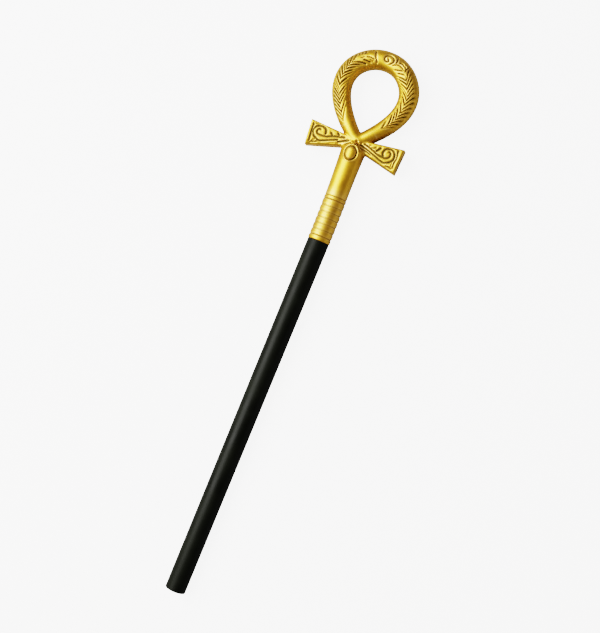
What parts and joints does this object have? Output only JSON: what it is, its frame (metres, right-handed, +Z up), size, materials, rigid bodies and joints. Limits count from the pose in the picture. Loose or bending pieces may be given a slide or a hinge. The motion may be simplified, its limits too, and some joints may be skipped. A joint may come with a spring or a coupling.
{
  "type": "ankh staff",
  "caption": "Hand-held ceremonial prop staff: a gold ankh head with carved fronds, flaring scroll-panelled arms and a ribbed collar on a plain black tapered pole.",
  "frame": {"origin": "centre of the staff's bounding box on the floor that it lies on", "axes": "+X along the staff towards the ankh, +Z up out of the carved face, +Y towards the viewer's left when the ankh is seen upright from its carved face"},
  "size_m": [0.9798, 0.1696, 0.0448],
  "materials": {
    "gold": "satin metallic gold paint over moulded plastic, darker in the recesses",
    "black": "satin black plastic"
  },
  "bodies": {
    "root": {"ankh_head": "gold", "pole": "black"}
  },
  "joints": []
}
